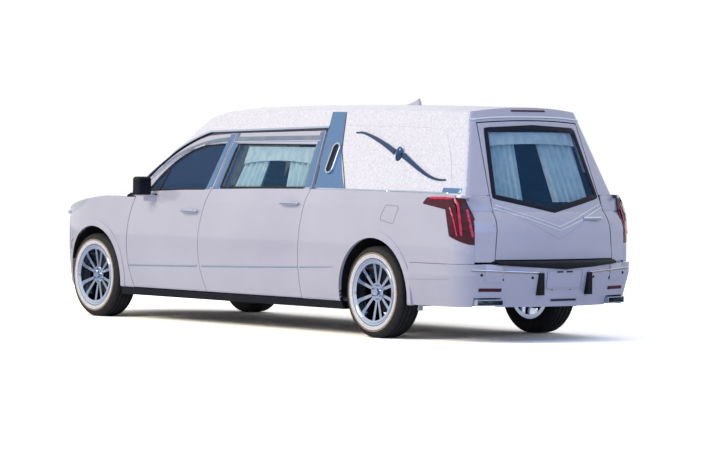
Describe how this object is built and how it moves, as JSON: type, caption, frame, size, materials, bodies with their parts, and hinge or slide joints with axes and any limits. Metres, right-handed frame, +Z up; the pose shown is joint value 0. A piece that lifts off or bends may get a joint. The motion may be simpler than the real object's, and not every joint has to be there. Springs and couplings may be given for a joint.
{
  "type": "hearse",
  "caption": "Long white four-door funeral coach with a padded vinyl rear roof, opening doors, bonnet and side-hinged tail door, a hollow load space, steered front wheels and turning wheels.",
  "frame": {"origin": "on the ground, at the centre of the coach's bounding box seen from above", "axes": "+Z up, +Y towards the tail, +X towards the coach's own left side"},
  "size_m": [2.27, 6.3555, 1.95],
  "materials": {
    "body_paint": "pearl white lacquer",
    "vinyl": "padded grained white vinyl over steel",
    "chrome": "polished",
    "tinted_glass": "dark blue tint",
    "curtain_fabric": "gathered satin",
    "lamp_cover": "clear moulded",
    "lamp_red": "deep red moulded",
    "black_plastic": "grained",
    "underbody": "satin black",
    "engine_metal": "bare casting",
    "exhaust_steel": "brushed",
    "seat_leather": "grained",
    "deck_carpet": "short pile with metal rollers",
    "tyre": "road rubber"
  },
  "bodies": {
    "body": {"antenna": "body_paint", "body_side_left": "body_paint", "body_side_right": "body_paint", "casket_deck": "deck_carpet", "cowl": "black_plastic", "dashboard": "black_plastic", "drip_rails": "chrome", "engine_block": "engine_metal", "exhaust": "exhaust_steel", "fender_left": "body_paint", "fender_right": "body_paint", "firewall": "underbody", "floor_pan": "underbody", "front_bumper": "body_paint", "front_seats": "seat_leather", "front_subframe": "underbody", "grille": "chrome", "headlamps": "lamp_cover", "landau_bars": "chrome", "opera_lamps": "lamp_cover", "pillar_bands": "chrome", "rear_axle": "underbody", "rear_bumper": "body_paint", "roof": "vinyl", "sill_covers": "black_plastic", "step_plate": "black_plastic", "tail_lamps": "lamp_red", "upper_quarter_left": "vinyl", "upper_quarter_right": "vinyl", "windscreen": "tinted_glass"},
    "front_door_left": {"front_door_left": "body_paint", "front_door_glass_left": "tinted_glass", "mirror_left": "body_paint"},
    "rear_door_left": {"rear_door_left": "body_paint", "rear_door_glass_left": "tinted_glass", "rear_door_curtain_left": "curtain_fabric"},
    "knuckle_left": {"knuckle_left": "engine_metal"},
    "wheel_front_left": {"tyre_front_left": "tyre", "rim_front_left": "chrome"},
    "wheel_rear_left": {"tyre_rear_left": "tyre", "rim_rear_left": "chrome"},
    "front_door_right": {"front_door_right": "body_paint", "front_door_glass_right": "tinted_glass", "mirror_right": "body_paint"},
    "rear_door_right": {"rear_door_right": "body_paint", "rear_door_glass_right": "tinted_glass", "rear_door_curtain_right": "curtain_fabric"},
    "knuckle_right": {"knuckle_right": "engine_metal"},
    "wheel_front_right": {"tyre_front_right": "tyre", "rim_front_right": "chrome"},
    "wheel_rear_right": {"tyre_rear_right": "tyre", "rim_rear_right": "chrome"},
    "bonnet": {"bonnet": "body_paint"},
    "tail_door": {"tail_door": "body_paint", "tail_door_glass": "tinted_glass", "tail_door_curtain": "curtain_fabric"},
    "fuel_flap": {"fuel_flap": "body_paint"},
    "steering_wheel": {"steering_wheel": "black_plastic"}
  },
  "joints": [
    {"name": "front_door_left_hinge", "type": "hinge", "parent": "body", "child": "front_door_left", "pos_m": [0.945, -1.68, 0.7], "axis": [0, 0, -1], "range_deg": [0, 65]},
    {"name": "rear_door_left_hinge", "type": "hinge", "parent": "body", "child": "rear_door_left", "pos_m": [0.945, -0.579, 0.7], "axis": [0, 0, -1], "range_deg": [0, 65]},
    {"name": "steer_left", "type": "hinge", "parent": "body", "child": "knuckle_left", "pos_m": [0.68, -2.235, 0.372], "axis": [0, 0, 1], "range_deg": [-32, 32]},
    {"name": "spin_front_left", "type": "hinge", "parent": "knuckle_left", "child": "wheel_front_left", "pos_m": [0.8175, -2.235, 0.372], "axis": [1, 0, 0], "continuous": true},
    {"name": "spin_rear_left", "type": "hinge", "parent": "body", "child": "wheel_rear_left", "pos_m": [0.8175, 1.865, 0.372], "axis": [1, 0, 0], "continuous": true},
    {"name": "front_door_right_hinge", "type": "hinge", "parent": "body", "child": "front_door_right", "pos_m": [-0.945, -1.68, 0.7], "axis": [0, 0, 1], "range_deg": [0, 65]},
    {"name": "rear_door_right_hinge", "type": "hinge", "parent": "body", "child": "rear_door_right", "pos_m": [-0.945, -0.579, 0.7], "axis": [0, 0, 1], "range_deg": [0, 65]},
    {"name": "steer_right", "type": "hinge", "parent": "body", "child": "knuckle_right", "pos_m": [-0.68, -2.235, 0.372], "axis": [0, 0, 1], "range_deg": [-32, 32]},
    {"name": "spin_front_right", "type": "hinge", "parent": "knuckle_right", "child": "wheel_front_right", "pos_m": [-0.8175, -2.235, 0.372], "axis": [1, 0, 0], "continuous": true},
    {"name": "spin_rear_right", "type": "hinge", "parent": "body", "child": "wheel_rear_right", "pos_m": [-0.8175, 1.865, 0.372], "axis": [1, 0, 0], "continuous": true},
    {"name": "bonnet_hinge", "type": "hinge", "parent": "body", "child": "bonnet", "pos_m": [0, -1.825, 1.195], "axis": [-1, 0, 0], "range_deg": [0, 50]},
    {"name": "tail_door_hinge", "type": "hinge", "parent": "body", "child": "tail_door", "pos_m": [0.64, 3.014, 0.9], "axis": [0, 0, -1], "range_deg": [0, 100]},
    {"name": "fuel_flap_hinge", "type": "hinge", "parent": "body", "child": "fuel_flap", "pos_m": [0.9405, 1.945, 0.957], "axis": [0, -0.5264, -0.8503], "range_deg": [0, 80]},
    {"name": "steering_wheel_turn", "type": "hinge", "parent": "body", "child": "steering_wheel", "pos_m": [0.37, -1.15, 0.985], "axis": [0, 0.8988, 0.4384], "range_deg": [-384, 384]}
  ],
  "couplings": [
    {"joint": "steer_right", "follows": "steer_left", "ratio": 1},
    {"joint": "steering_wheel_turn", "follows": "steer_left", "ratio": 12}
  ]
}
